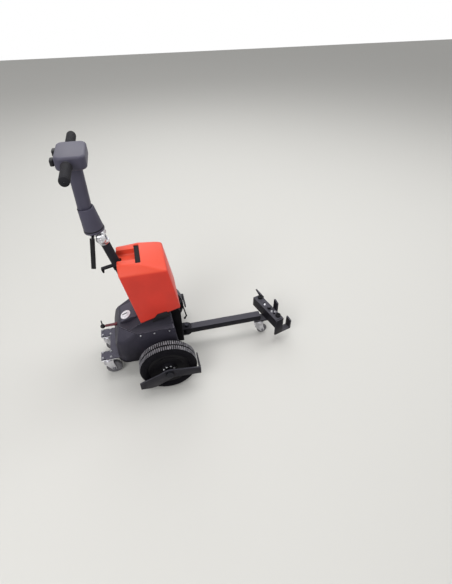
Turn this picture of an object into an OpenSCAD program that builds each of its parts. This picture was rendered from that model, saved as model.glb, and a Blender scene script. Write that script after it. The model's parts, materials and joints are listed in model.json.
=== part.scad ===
// Walk-behind electric tug with a front drawbar and a hooked coupling bar.
// The drive axle stands over the line x = x_shift; +X is forward, +Y is the left side.

/* [Drive wheels] */
// Outer diameter of a drive tyre
wheel_d = 266; // [220:2:340]
// Width of a drive tyre
wheel_w = 82; // [60:1:110]
// Distance between the middles of the two drive wheels
track = 408; // [380:2:520]
// Diameter of the rim seat under a drive tyre
rim_d = 190; // [140:2:210]
// Diameter of the fixed stub axles
axle_d = 25; // [16:1:32]

/* [Guard arms] */
// Height of the flat bar of a guard arm
guard_h = 46; // [25:1:60]
// Thickness of the flat bar of a guard arm
guard_t = 7; // [4:0.5:12]
// Length of the plate that turns in across the front of a tyre
guard_return = 92; // [40:1:110]

/* [Housing] */
// Width of the lower housing
body_w = 262; // [240:2:300]
// Distance from the drive axle back to the rear wall
body_rear = 225; // [200:1:260]
// Distance from the drive axle forward to the end of the lower housing
body_front = 66; // [55:1:80]
// Height of the base plate's underside above the floor
base_z = 112; // [104:1:124]
// Height of the lower housing's rim above the floor
rim_z = 290; // [270:1:310]
// Radius of the lower housing's upright rear corners
corner_r = 56; // [40:1:100]
// Thickness of the housing panels
panel_t = 3; // [2:0.5:5]
// Width of the pedestal that carries the battery case
pedestal_w = 206; // [180:2:230]
// Width of the rear cowl round the mast
cowl_w = 104; // [90:2:130]
// Backward tilt of the rear cowl's top
cowl_tilt = 22; // [10:1:40]

/* [Battery case] */
// Width of the battery case
case_w = 218; // [180:2:230]
// Length of the battery case along the ground
case_l = 185; // [160:1:200]
// Height of the battery case from its rear lower edge to its shoulders
case_h = 279; // [240:1:300]
// Nose-up angle of the seat
case_tilt = 17.7; // [0:0.1:25]
// Wall thickness of the battery case
case_wall = 4; // [3:0.5:8]
// Height of the case top above its rear shoulder
top_h = 30; // [20:1:40]
// Width of the slot that holds the carrying strap
slot_w = 22; // [18:1:30]
// Length of the slot that holds the carrying strap
slot_l = 132; // [100:2:150]
// Width of the finger pocket behind the strap
pocket_w = 76; // [70:1:100]

/* [Drawbar] */
// Distance from the swing pin to the coupling pin
drawbar_l = 440; // [300:5:600]
// Width of the drawbar tube
drawbar_w = 38; // [30:1:60]
// Height of the drawbar tube
drawbar_h = 32; // [25:1:50]
// Height of the drawbar's middle above the floor
drawbar_z = 128; // [115:1:160]

/* [Coupling bar] */
// Length of the coupling bar
hitch_l = 202; // [180:2:300]
// Depth of the coupling bar from front to back
hitch_w = 46; // [30:1:70]
// Height of the coupling bar
hitch_h = 56; // [40:1:70]
// Angle at which the coupling bar is parked, near end forward
hitch_yaw = 17; // [-20:0.5:20]
// Height of the middle hook blade above the coupling bar
hook_h = 58; // [30:1:90]
// Distance between the two free bolt holes in the coupling bar
hole_span = 90; // [70:2:96]
// Radius of the free bolt holes
hole_r = 5.5; // [3:0.25:8]

/* [Casters] */
// Diameter of the rear caster wheels
rear_caster_d = 76; // [60:1:90]
// Diameter of the nose caster wheel
nose_caster_d = 54; // [45:1:64]
// Distance between the two rear casters
caster_track = 150; // [140:2:200]

/* [Tiller] */
// Diameter of the lower mast
mast_d = 36; // [30:1:40]
// Depth of the tiller's arm from front to back
arm_depth = 50; // [44:1:56]
// Height of the knuckle's bolt above the floor
knuckle_z = 742; // [650:2:850]
// Backward lean of the lower mast
mast_lean = 12.6; // [8:0.1:14]
// Length of the tiller's arm above the knuckle
tube_l = 296; // [220:2:380]
// Width of the handlebar over its grips
bar_w = 400; // [300:5:500]

/* [Hidden] */
$fn = 48;
eps = 0.01;
run_gap = 0.05;      // radial gap of a running bore
seat_gap = 0.3;      // gap between two pieces that are fastened together
wheel_r = wheel_d / 2;
axle_r = axle_d / 2;
hub_half = wheel_w / 2 - 6;              // half the width of a wheel hub at its middle
wheel_out = track / 2 + wheel_w / 2;
guard_y = wheel_out + 9;
guard_x = wheel_r + 6;                   // inner face of the return plate
base_t = 6;
base_top = base_z + base_t;
cover_half = body_w / 2;
flange = 3;                              // how far the base plate shows beyond the covers
// the front line of the housing leans back; x of its inner face at height z
front_lean = 5.5;
function front_x(z) = body_front - (z - base_top) * tan(front_lean);
// the rear wall leans forward above this height
rear_knee = base_top + 82;
rear_set = 33;
// seat of the battery case: a tilted plane through its rear lower edge
seat_x = -90;
seat_z = rim_z + 36;
function deck_top(x) = seat_z + (x - seat_x) * tan(case_tilt);
// front column, swing pin of the drawbar and pin of the coupling bar
column_w = 118;
column_front = body_front + 32;
pin_x = column_front + 25;
pin_r = 8;
king_x = pin_x + drawbar_l;
king_r = 9;
lug_t = 6;
lug_r = drawbar_w / 2 + 5;
nose_x = king_x - 52;
// casters
plate_t = 5;
carrier_t = 8;
rear_x = -(body_rear + 53);
plate_back = 28;
rear_top = base_top - plate_t;                        // seat of the rear swivel heads
rear_trail = 18;
tongue_t = 8;
nose_top = drawbar_z - drawbar_h / 2 - tongue_t;
nose_trail = 20;
// tiller
knuckle_x = -174;
function mast_x(z) = knuckle_x + (knuckle_z - z) * tan(mast_lean);
// coupling bar
hook_t = 8;
hook_reach = 80;                         // how far the near hook stands ahead of the coupling pin
end_t = 8;
arm_w = 34;
arm_drop = 50;                           // how far the near arm lies below the bar
bar_far = hitch_l / 2 + 12;
bar_near = -hitch_l / 2 + 12;
// extents along X, for the origin in the middle of the bounding box
x_front = king_x + hook_reach * cos(hitch_yaw) - (bar_near - end_t) * sin(hitch_yaw);
x_rear = rear_x - plate_back;
x_shift = -(x_front + x_rear) / 2;

module at_axle(side) { translate([0, side * track / 2, wheel_r]) rotate([-90 * side, 0, 0]) children(); }
module both() { children(); mirror([0, 1, 0]) children(); }
module rounded_slab(lx, ly, h, r) {
    translate([-lx / 2 + r, -ly / 2, 0]) cube([lx - 2 * r, ly, h]);
    translate([-lx / 2, -ly / 2 + r, 0]) cube([lx, ly - 2 * r, h]);
    for (x = [-1, 1], y = [-1, 1]) translate([x * (lx / 2 - r), y * (ly / 2 - r), 0]) cylinder(r = r, h = h);
}
// outline in the XZ plane, drawn out sideways over the width w
module side_extrude(w) { translate([0, w / 2, 0]) rotate([90, 0, 0]) linear_extrude(w) children(); }

// round bar between two points
module rod(a, b, r) {
    d = b - a;
    l = norm(d);
    translate(a) rotate([0, acos(d[2] / l), atan2(d[1], d[0])]) cylinder(r = r, h = l);
}
// block from x0 to x1 with rounded upright rear corners
module rear_rounded(x0, x1, w, z0, z1, r) {
    translate([x0 + r, -w / 2, z0]) cube([x1 - x0 - r, w, z1 - z0]);
    translate([x0, -w / 2 + r, z0]) cube([r + 1, w - 2 * r, z1 - z0]);
    for (s = [-1, 1]) translate([x0 + r, s * (w / 2 - r), z0]) cylinder(r = r, h = z1 - z0);
}
module mast_bore(r) translate([knuckle_x, 0, knuckle_z]) rotate([0, -mast_lean, 0])
    translate([0, 0, -knuckle_z]) cylinder(r = r, h = knuckle_z);

module base_frame() color("dimgray") {
    difference() {
        union() {
            rear_rounded(-body_rear - flange + 1, body_front + 4, body_w + 2 * flange, base_z, base_top,
                corner_r);
            translate([0, -column_w / 2, base_z]) cube([column_front, column_w, base_t]);
            // upright cheeks that hold the stub axles
            for (s = [-1, 1]) translate([-60, s * (cover_half - panel_t - 12) - 4, base_top - eps])
                cube([114, 8, 90]);
        }
        for (s = [-1, 1]) translate([0, s * cover_half, wheel_r]) rotate([90, 0, 0])
            cylinder(r = axle_r, h = 70, center = true);
        // lightening and wiring opening in the floor
        translate([-170, -50, base_z - 1]) cube([40, 100, base_t + 2]);
    }
}

module stub_axles() color("silver") both()
    translate([0, 0, wheel_r]) rotate([-90, 0, 0]) {
        translate([0, 0, cover_half - 25]) cylinder(r = axle_r, h = guard_y + guard_t + 6 - cover_half + 25);
        // shoulder against the cheek side of the hub
        translate([0, 0, cover_half + seat_gap])
            cylinder(r = wheel_r - base_top - seat_gap, h = track / 2 - hub_half - 1 - cover_half);
        // nut on the outer end
        translate([0, 0, guard_y + guard_t]) cylinder(r = axle_r + 6, h = 9, $fn = 6);
    }

module guard_arms() color("dimgray") both() {
    translate([0, guard_y + guard_t, 0]) rotate([90, 0, 0]) linear_extrude(guard_t) difference() {
        polygon([[-wheel_r - 7, 54], [-94, 51], [-70, 54], [18, wheel_r - guard_h * 0.7],
                 [guard_x + 6, wheel_r - guard_h * 0.9], [guard_x + 6, wheel_r + 2], [6, wheel_r + 22],
                 [-18, wheel_r + 20], [-40, wheel_r + 5], [-wheel_r + 2, 54 + guard_h], [-wheel_r - 7, 96]]);
        translate([0, wheel_r]) circle(r = axle_r);
    }
    // pointed plate that turns in across the front of the tyre
    translate([guard_x, guard_y + guard_t - guard_return, wheel_r - guard_h * 0.9])
        rotate([90, 0, 90]) linear_extrude(6)
            polygon([[0, guard_h * 0.5], [0, guard_h * 0.9], [guard_return - 1, guard_h * 0.9],
                     [guard_return - 1, 0], [guard_return * 0.45, 0]]);
}

module cover_profile(t, z0, z1) polygon([[-body_rear + t, z0], [front_x(z0), z0], [front_x(z1), z1],
    [-body_rear + rear_set * (z1 - rear_knee) / (rim_z - rear_knee) + t, z1], [-body_rear + t, rear_knee]]);

// slanted facet on each rear upper corner, between two points of the rim
facet_a = [-body_rear + 107, -cover_half];
facet_b = [-body_rear + 29, -cover_half + 65];
facet_slope = 50;
module corner_facets(t) both() translate([facet_a[0], facet_a[1], rim_z + 2.5])
    rotate([0, 0, atan2(facet_a[0] - facet_b[0], facet_b[1] - facet_a[1]) - 180]) rotate([0, facet_slope, 0])
        translate([-12, -200, -t]) cube([300, 400, 200]);

module lower_cover() color("dimgray") difference() {
    intersection() {
        rear_rounded(-body_rear, body_front + 10, body_w, base_top, rim_z, corner_r);
        side_extrude(body_w + 2) cover_profile(0, base_top, rim_z);
    }
    difference() {
        intersection() {
            rear_rounded(-body_rear + panel_t, body_front + 20, body_w - 2 * panel_t, base_top - 1, rim_z + 1,
                corner_r - panel_t);
            side_extrude(body_w + 2) cover_profile(panel_t, base_top - 1, rim_z + 1);
        }
        corner_facets(panel_t);
    }
    corner_facets(0);
    // the front is closed by its own plate
    translate([front_x(base_top) - 1, -cover_half - 1, base_top - 1]) cube([30, body_w + 2, 1]);
    translate([0, 0, wheel_r]) rotate([90, 0, 0]) cylinder(r = axle_r + 10, h = body_w + 10, center = true);
    // slot for the plate that carries the rear casters
    translate([-body_rear - 20, -carrier_half - seat_gap, base_top - 1])
        cube([body_rear - 120, 2 * (carrier_half + seat_gap), carrier_t + 1 + seat_gap]);
}

pedestal_tail = [[-150, rim_z + 3], [seat_x - 14, seat_z - 6], [seat_x, seat_z - seat_gap]];
module pedestal_profile(t) polygon(concat([for (p = pedestal_tail) p + [1.4 * t, -t]],
    [[front_x(368) - t * 0.3, deck_top(front_x(368)) - seat_gap - t],
     [front_x(rim_z + 3 - t) - t * 0.3, rim_z + 3 - t]]));
module upper_cover() color("dimgray") difference() {
    union() {
        // rim that closes the lower cover
        intersection() {
            rear_rounded(-body_rear, body_front, body_w + 3, rim_z, rim_z + 5, corner_r);
            side_extrude(body_w + 4) polygon([[-body_rear + rear_set - 1.5, rim_z], [front_x(rim_z), rim_z],
                [front_x(rim_z + 5), rim_z + 5], [-body_rear + rear_set + 2, rim_z + 5]]);
        }
        side_extrude(pedestal_w) pedestal_profile(0);
    }
    side_extrude(pedestal_w - 2 * panel_t) pedestal_profile(panel_t);
    translate([-140, -pedestal_w / 2 + panel_t, rim_z - 1])
        cube([front_x(rim_z) + 130, pedestal_w - 2 * panel_t, 3]);
    mast_bore(mast_d / 2);
    corner_facets(0);
}

plate_top = 366;
column_top = 371;
column_knee = 320;    // height at which the column slants back under the case
module front_plate() color("dimgray") difference() {
    union() {
        side_extrude(body_w) polygon([[front_x(base_top), base_top], [front_x(base_top) + panel_t, base_top],
            [front_x(rim_z) + panel_t, rim_z], [front_x(rim_z), rim_z]]);
        side_extrude(pedestal_w) polygon([[front_x(rim_z - 5), rim_z - 5],
            [front_x(rim_z - 5) + panel_t, rim_z - 5], [front_x(plate_top) + panel_t, plate_top],
            [front_x(plate_top), plate_top]]);
    }
    // cable opening behind the column
    translate([0, -20, base_top + 40]) cube([100, 40, 30]);
}

cowl_half = cowl_w / 2;
cowl_x0 = -body_rear + rear_set + 4;
cowl_x1 = seat_x - 14;
cowl_low = 12;       // height of the cowl's rear edge above the rim
cowl_deep = 46;      // length of the tilted face along the ground
cowl_top = rim_z + 5 + cowl_low + cowl_deep * tan(cowl_tilt);
module cowl_profile(t) polygon([[cowl_x0 + t, rim_z + 5 - 0.7 * t], [cowl_x0 + 10 + t, rim_z + 5 + cowl_low - t],
    [cowl_x0 + 10 + cowl_deep, cowl_top - t * 1.1], [cowl_x1 - t, cowl_top - t * 1.1],
    [cowl_x1 - t, rim_z + 5 - 0.7 * t]]);
module rear_cowl() color("dimgray") difference() {
    intersection() {
        side_extrude(cowl_w) cowl_profile(0);
        rear_rounded(cowl_x0 - 1, cowl_x1 + 60, cowl_w, rim_z, cowl_top + 5, 14);
    }
    side_extrude(cowl_w - 2 * panel_t) cowl_profile(panel_t);
    side_extrude(pedestal_w) pedestal_profile(-seat_gap);
}

// blank round plate of the key switch, on the cowl's tilted face
module key_switch() color("white") translate([cowl_x0 + 10 + cowl_deep / 2, -cowl_half + 32,
    rim_z + 5 + cowl_low + cowl_deep / 2 * tan(cowl_tilt) + seat_gap]) rotate([0, -cowl_tilt, 0]) difference() {
        union() {
            cylinder(r = 25, h = 3);
            translate([0, 0, 3 - eps]) cylinder(r = 12, h = 5);
        }
        translate([-8, -2, 5]) cube([16, 4, 6]);
    }

block_back = 56;     // from the case's rear lower edge to the block
block_ends = 75;     // how much shorter than the case the block is
block_side = 14;     // from each side of the case to the block
block_h = 170;
block_gap = 0.4;     // room between the block and the case's floor or the mast's channel
module battery_block() color("black") difference() {
    seat_place() translate([block_back, -case_w / 2 + block_side, case_wall + block_gap])
        cube([case_l - block_ends, case_w - 2 * block_side, block_h]);
    mast_channel(case_wall + block_gap);
}

// frame of the case: origin at its rear lower edge, Z square to the seat
module seat_place() translate([seat_x, 0, seat_z]) rotate([0, -case_tilt, 0]) children();

// side outline of the case, measured from its rear lower edge
low_front = [case_l, case_l * tan(case_tilt)];
shoulder_front = [case_l - 37, case_h];
shoulder_rear = [-47, case_h];
crest = [case_l - 139, case_h + top_h];
crest_rear = [-49, case_h + top_h];
slot_x = crest[0] + 2;                   // front side of the strap's slot
slot_z = case_h + 2;                     // floor of the slot and of the pocket
facet_in = 40;                           // how far the side facets reach in under the crest
channel_half = mast_d / 2 + 5;
module case_place() translate([seat_x, 0, seat_z]) children();

// upright channel in the case's rear that the mast runs in
module mast_channel(g) translate([knuckle_x, 0, knuckle_z]) rotate([0, -mast_lean, 0])
    translate([-90, -channel_half - g, -knuckle_z]) cube([90 + channel_half + g, 2 * (channel_half + g), knuckle_z]);

module case_body() color("firebrick") difference() {
    case_place() side_extrude(case_w) polygon([[0, 0], low_front, shoulder_front, shoulder_rear]);
    difference() {
        case_place() side_extrude(case_w - 2 * case_wall) polygon([[case_wall, case_wall * 1.4],
            low_front + [-case_wall, case_wall * 0.6], shoulder_front + [-case_wall, 1],
            shoulder_rear + [case_wall, 1]]);
        mast_channel(case_wall);
    }
    mast_channel(0);
}

module case_top() color("orangered") difference() {
    case_place() side_extrude(case_w) polygon([shoulder_rear, shoulder_front, crest, crest_rear]);
    case_place() {
        // tilted facets on both sides, running out at the front shoulder
        both() translate([crest_rear[0] - 50, -case_w / 2, case_h + 1]) rotate([atan(top_h / facet_in), 0, 0])
            translate([0, -50, 0]) cube([case_l + 100, 200, 100]);
        // slot of the strap and finger pocket behind it
        translate([slot_x - slot_w, -slot_l / 2, slot_z]) cube([slot_w, slot_l, 60]);
        translate([-80, -pocket_w / 2, slot_z]) cube([slot_x - slot_w + 81, pocket_w, 60]);
    }
    mast_channel(0);
}

module case_strap() color("black") case_place()
    translate([slot_x - slot_w + seat_gap, -slot_l / 2 + seat_gap, case_h + top_h - 10])
        cube([slot_w - 2 * seat_gap, slot_l - 2 * seat_gap, 6]);

// catches on both sides that hold the case on its seat
module case_catches() color("dimgray") both() {
    translate([0, -case_w / 2 - 3.3, 0]) rotate([90, 0, 0]) mirror([0, 0, 1]) linear_extrude(3)
        polygon([[-38, deck_top(-38) - 16], [44, deck_top(44) - 16], [44, deck_top(44) - 6],
                 [30, deck_top(30) + 16], [-12, deck_top(-12) + 22], [-38, deck_top(-38) - 4]]);
    translate([-20, -case_w / 2 - 1, deck_top(-20) - 14]) cube([40, (case_w - pedestal_w) / 2 + 1, 10]);
}

lever_z = 248;
module release_lever() color("darkred") difference() {
    side_extrude(14) polygon([[-body_rear - 36, lever_z - 3], [-body_rear + 4, lever_z - 3],
        [-body_rear + 24, lever_z - 8], [-body_rear + 24, lever_z + 10], [-body_rear + 4, lever_z + 4],
        [-body_rear - 36, lever_z + 3]]);
    side_extrude(body_w) cover_profile(-seat_gap, base_top, rim_z);
}

module lever_knob() color("black") translate([-body_rear - 36 - 11 - seat_gap, 0, lever_z]) {
    sphere(r = 11);
    cylinder(r = 3, h = 36);
}

column_head = front_x(plate_top) + panel_t + 20;
module front_column() color("dimgray") side_extrude(column_w) polygon([[front_x(base_top) + panel_t, base_top],
    [column_front, base_top], [column_front - 2, column_knee], [column_head, column_top],
    [front_x(plate_top) + panel_t, plate_top]]);

// block on the column's slanted head, and the rod that hangs from it
module latch_rod() color("black") {
    y0 = -44;
    path = [[column_front + 9, y0, column_knee + 30], [column_front + 18, y0, column_knee - 20],
            [column_front + 24, y0, column_knee - 54], [column_front + 15, y0, column_knee - 68]];
    translate([0, y0 + 6, 0]) rotate([90, 0, 0]) linear_extrude(12) polygon([
        [column_front - 6.4, column_knee + 7.8], [column_front - 17.2, column_knee + 25.7],
        [column_front - 1, column_knee + 32], [column_front, column_knee + 48],
        [column_front + 12, column_knee + 48], [column_front + 13, column_knee + 18]]);
    for (i = [0:2]) rod(path[i], path[i + 1], 3.2);
    for (i = [0:3]) translate(path[i]) sphere(r = i == 3 ? 5.5 : 3.8);
}

caster_half = caster_track / 2;
plate_half = 25;      // half the width of a caster's plate
carrier_half = caster_half + plate_half;
// plate with an ear over each caster
module carrier_plate() color("dimgray") difference() {
    translate([rear_x - plate_back, -carrier_half, base_top])
        cube([plate_back - rear_x - body_rear + 60, 2 * carrier_half, carrier_t]);
    translate([rear_x - plate_back - 1, plate_half - caster_half, base_top - 1])
        cube([plate_back + 17, 2 * (caster_half - plate_half), carrier_t + 2]);
}

module caster_plates() color("silver") for (s = [-1, 1])
    translate([rear_x - plate_back, s * caster_half - plate_half, rear_top])
        cube([plate_back + 42, 2 * plate_half, plate_t]);

module clevis() color("dimgray") {
    for (z = [drawbar_z + drawbar_h / 2 + 0.5, drawbar_z - drawbar_h / 2 - 0.5 - lug_t])
        translate([column_front - (z < base_top ? 40 : 0), -lug_r, z]) {
            cube([pin_x - column_front + (z < base_top ? 40 : 0), 2 * lug_r, lug_t]);
            translate([pin_x - column_front + (z < base_top ? 40 : 0), lug_r, 0])
                cylinder(r = lug_r, h = lug_t);
        }
    translate([pin_x, 0, drawbar_z - drawbar_h / 2 - 14]) cylinder(r = pin_r, h = drawbar_h + 28);
}

module lower_mast() color("dimgray") {
    translate([knuckle_x, 0, knuckle_z]) rotate([0, -mast_lean, 0])
        translate([0, 0, -(knuckle_z - base_top - 10) / cos(mast_lean)])
            cylinder(r = mast_d / 2, h = (knuckle_z - base_top - 10) / cos(mast_lean) - 34);
    translate([mast_x(base_top) - 32, -35, base_top]) cube([64, 70, 14]);
}

bracket_z = 592;
module mast_bracket() color("dimgray") translate([mast_x(bracket_z), 0, bracket_z]) rotate([0, -mast_lean, 0])
    difference() {
        union() {
            translate([0, 0, -16]) cylinder(r = mast_d / 2 + 3, h = 24);
            translate([-mast_d / 2 - 50, -9, 0]) cube([54, 18, 7]);
            translate([-mast_d / 2 - 50, -9, -14]) cube([7, 18, 16]);
        }
        translate([0, 0, -20]) cylinder(r = mast_d / 2, h = 40);
    }

module knuckle_base() color("silver") {
    translate([knuckle_x, 0, knuckle_z]) rotate([0, -mast_lean, 0]) {
        translate([0, 0, -34]) cylinder(r = mast_d / 2 + 3, h = 10);
        for (s = [-1, 1]) translate([-14, s * 17 - 4, -25]) cube([28, 8, 39]);
    }
    // bolt on which the upper part tilts
    translate([knuckle_x, 0, knuckle_z]) rotate([90, 0, 0]) cylinder(r = 6, h = 56, center = true);
    both() translate([knuckle_x, -21 + eps, knuckle_z]) rotate([90, 0, 0]) cylinder(r = 17, h = 9);
}

module tyre(side) color("black") at_axle(side) rotate_extrude($fn = 72) polygon([
    [rim_d / 2, -wheel_w / 2 + 12], [rim_d / 2 + (wheel_r - rim_d / 2) * 0.3, -wheel_w / 2 + 2],
    [rim_d / 2 + (wheel_r - rim_d / 2) * 0.55, -wheel_w / 2], [wheel_r - 5, -wheel_w / 2 + 7],
    [wheel_r, -wheel_w / 2 + 18], [wheel_r, wheel_w / 2 - 18], [wheel_r - 5, wheel_w / 2 - 7],
    [rim_d / 2 + (wheel_r - rim_d / 2) * 0.55, wheel_w / 2],
    [rim_d / 2 + (wheel_r - rim_d / 2) * 0.3, wheel_w / 2 - 2], [rim_d / 2, wheel_w / 2 - 12]]);

module hub(side) color("black") at_axle(side) rotate_extrude($fn = 72) polygon([
    [axle_r + run_gap, -hub_half], [rim_d * 0.37, -hub_half], [rim_d / 2 - 10, -wheel_w / 2 + 12],
    [rim_d / 2, -wheel_w / 2 + 12], [rim_d / 2, wheel_w / 2 - 12], [rim_d / 2 - 8, wheel_w / 2 - 12],
    [rim_d * 0.36, wheel_w / 2 - 18], [axle_r + 24, wheel_w / 2 - 18], [axle_r + 22, hub_half],
    [axle_r + run_gap, hub_half]]);

module fork(d, top, trail, w, ft) {
    // swivel head, crown and two legs; the head's top face meets the plate above
    translate([0, 0, top - 8]) cylinder(r = 22, h = 8);
    translate([0, 0, top - 12]) cylinder(r = 26, h = 4.5);
    crown_z = d / 2 + d / 2 + 2;
    translate([-22, -w / 2 - ft, crown_z]) cube([44 + 0, w + 2 * ft, top - 11 - crown_z]);
    for (s = [-1, 1]) difference() {
        translate([0, s * (w / 2 + ft / 2) + ft / 2, 0]) rotate([90, 0, 0]) linear_extrude(ft)
            polygon([[-22, crown_z + 1], [22, crown_z + 1], [trail + 10, d / 2 + 6], [trail + 10, d / 2 - 9],
                     [trail - 10, d / 2 - 9]]);
    }
    translate([trail, 0, d / 2]) rotate([90, 0, 0]) cylinder(r = 4, h = w + 2 * ft + 8, center = true);
}

module caster_wheel(d, trail, w) translate([trail, 0, d / 2]) rotate([90, 0, 0]) rotate_extrude($fn = 48)
    polygon([[4 + run_gap, -w / 2 + 1.5], [d / 2 - 12, -w / 2 + 1.5], [d / 2 - 8, -w / 2 + 3],
             [d / 2 - 3, -w / 2 + 3], [d / 2, -w / 2 + 7], [d / 2, w / 2 - 7], [d / 2 - 3, w / 2 - 3], [d / 2 - 8, w / 2 - 3],
             [d / 2 - 12, w / 2 - 1.5], [4 + run_gap, w / 2 - 1.5]]);

module rear_fork(side) color("silver") translate([rear_x, side * caster_track / 2, 0])
    fork(rear_caster_d, rear_top - 0.5, rear_trail, 28, 3);
module rear_wheel(side) color("gray") translate([rear_x, side * caster_track / 2, 0])
    caster_wheel(rear_caster_d, rear_trail, 28);

module drawbar_tube() color("dimgray") {
    low = drawbar_z - drawbar_h / 2;
    difference() {
        union() {
            translate([pin_x, -drawbar_w / 2, low]) cube([drawbar_l - hitch_w / 2 - 28, drawbar_w, drawbar_h]);
            translate([pin_x, 0, low]) cylinder(r = drawbar_w / 2, h = drawbar_h);
        }
        translate([pin_x + 30, -drawbar_w / 2 + 3, low + 3])
            cube([drawbar_l - hitch_w / 2 - 66, drawbar_w - 6, drawbar_h - 6]);
        translate([pin_x, 0, drawbar_z]) cylinder(r = pin_r + run_gap, h = 100, center = true);
    }
    // flat tongue under the coupling bar, with its upright pin
    translate([king_x - 84, -24, nose_top]) cube([84, 48, tongue_t]);
    translate([king_x, 0, nose_top]) cylinder(r = 24, h = tongue_t);
    translate([king_x, 0, nose_top]) cylinder(r = king_r, h = hitch_h + 22);
}

module nose_fork() color("silver") translate([nose_x, 0, 0])
    fork(nose_caster_d, nose_top - 0.5, nose_trail, 22, 3);
module nose_wheel() color("gray") translate([nose_x, 0, 0]) caster_wheel(nose_caster_d, nose_trail, 22);

hitch_z = drawbar_z - drawbar_h / 2 + 0.5;
module at_hitch() translate([king_x, 0, hitch_z]) rotate([0, 0, hitch_yaw]) children();

module coupling_bar() color("dimgray") at_hitch() difference() {
    union() {
        translate([-hitch_w / 2, bar_near, 0]) cube([hitch_w, hitch_l, hitch_h]);
        // deep plate on the near end and the arm that runs forward from its foot
        translate([-hitch_w / 2, bar_near - end_t, -arm_drop]) cube([hitch_w, end_t, arm_drop + hitch_h - 2]);
        translate([0, bar_near - end_t, -arm_drop]) cube([hook_reach, arm_w, 8]);
    }
    translate([-hitch_w / 2 + 4, bar_near, 4]) cube([hitch_w - 8, -18 - bar_near, hitch_h - 8]);
    translate([-hitch_w / 2 + 4, 19, 4]) cube([hitch_w - 8, bar_far - 18, hitch_h - 8]);
    translate([0, 0, -1]) cylinder(r = king_r + run_gap, h = hitch_h + 2);
    // two free holes for bolting on another hook set
    for (s = [-1, 1]) translate([0, s * hole_span / 2, -1]) cylinder(r = hole_r, h = hitch_h + 2);
}

// plates that stand parallel to the bar: a pointed one past the far end, one in the middle, one on the arm
module hook_plate(x, points) translate([x, 0, 0]) rotate([90, 0, 90]) linear_extrude(hook_t) polygon(points);
module hook_blades() color("dimgray") at_hitch() {
    hook_plate(hitch_w / 2, [[bar_far - 24, hitch_h - 22], [bar_far, hitch_h - 22], [bar_far + 46, hitch_h - 2],
        [bar_far + 46, hitch_h + 3], [bar_far - 24, hitch_h]]);
    hook_plate(hitch_w / 2, [[-36, 20], [-4, 20], [-4, hitch_h + hook_h], [-14, hitch_h + hook_h],
        [-36, hitch_h + hook_h - 9]]);
    near = bar_near - end_t;
    hook_plate(hook_reach - hook_t, [[near, 8 - arm_drop], [near + arm_w, 8 - arm_drop],
        [near + arm_w, 66 - arm_drop], [near + arm_w - 8, 66 - arm_drop], [near, 58 - arm_drop]]);
}

module bar_buffers() color("black") at_hitch()
    for (y = [bar_far - 22, bar_near + 20]) translate([7, y, hitch_h]) cylinder(r = 13.5, h = 11);

module at_tiller() translate([knuckle_x, 0, knuckle_z]) children();
// the bell at the foot of the tiller leans back, the arm above it stands almost upright
boot_off = 15;        // how far the bell stands behind the knuckle's bolt
boot_lean = 6;
boot_l = 128;
boot_r = 38;
tube_in = 10;         // how deep the arm plugs into the bell
tube_lean = 1;
arm_side = 40;
head_h = 46;
module at_boot() at_tiller() translate([-boot_off, 0, 0]) rotate([0, -boot_lean, 0]) children();
tube_foot = [-boot_off - boot_l * sin(boot_lean) - 2, 0, boot_l * cos(boot_lean)];
module at_tube() at_tiller() translate(tube_foot) rotate([0, tube_lean, 0]) children();

module knuckle_clamp() color("silver") difference() {
    union() {
        at_tiller() rotate([90, 0, 0]) cylinder(r = 15, h = 25, center = true);
        at_boot() translate([-22, -11, 5]) cube([42, 22, 25]);
    }
    at_tiller() rotate([90, 0, 0]) cylinder(r = 6 + run_gap, h = 60, center = true);
}

module tiller_boot() color("black") difference() {
    at_boot() {
        translate([0, 0, 30 + eps]) cylinder(r = boot_r, h = 10);
        translate([0, 0, 40]) cylinder(r1 = boot_r, r2 = arm_depth / 2 + 5, h = boot_l - 40);
    }
    at_tube() translate([0, 0, -tube_in - seat_gap])
        rounded_slab(arm_depth + 2 * seat_gap, arm_side + 2 * seat_gap, tube_in + 20, 16);
}

module tiller_arm() color("dimgray") at_tube()
    translate([0, 0, -tube_in]) rounded_slab(arm_depth, arm_side, tube_l - boot_l + tube_in, 16);

head_w = 150;        // the head's size across the tiller, along it and its rounding
head_deep = 100;
head_round = 24;
module tiller_head() color("dimgray") at_tube() translate([0, 0, tube_l - boot_l])
    rounded_slab(head_deep, head_w, head_h, head_round);

head_x = -10;
bar_r = 11;
grip_r = 17;
grip_in = 15;        // bare bar between the head and each grip
grip_end = 2;        // thickness of a grip's closed end
grip_y = head_w / 2 + grip_in;
module handlebar() color("silver") at_tube()
    translate([head_x, 0, tube_l - boot_l + head_h / 2]) rotate([90, 0, 0]) both_z(head_w / 2)
        cylinder(r = bar_r, h = bar_w / 2 - head_w / 2 - grip_end);

module both_z(d) { translate([0, 0, d]) children(); mirror([0, 0, 1]) translate([0, 0, d]) children(); }

module grips() color("black") at_tube()
    translate([head_x, 0, tube_l - boot_l + head_h / 2]) rotate([90, 0, 0]) both_z(grip_y) difference() {
        cylinder(r = grip_r, h = bar_w / 2 - grip_y);
        translate([0, 0, -1]) cylinder(r = bar_r, h = bar_w / 2 - grip_y - grip_end + 1);
    }

paddle = [14, 28, 22];
paddle_y = 40;       // from the centre plane to the middle of each paddle
module thumb_paddles() color("black") at_tube() for (s = [-1, 1])
    translate([-head_deep / 2 - paddle[0] - seat_gap, s * paddle_y - paddle[1] / 2, tube_l - boot_l + 12])
        cube(paddle);

module clamp_lever() color("black") at_tiller() {
    translate([-31, -46, 4]) rotate([0, 10.5, 0]) translate([-9, 0, -128]) cube([18, 8, 140]);
    translate([-27, -11 - seat_gap, 16]) rotate([90, 0, 0]) cylinder(r = 5, h = 38);
}

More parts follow.
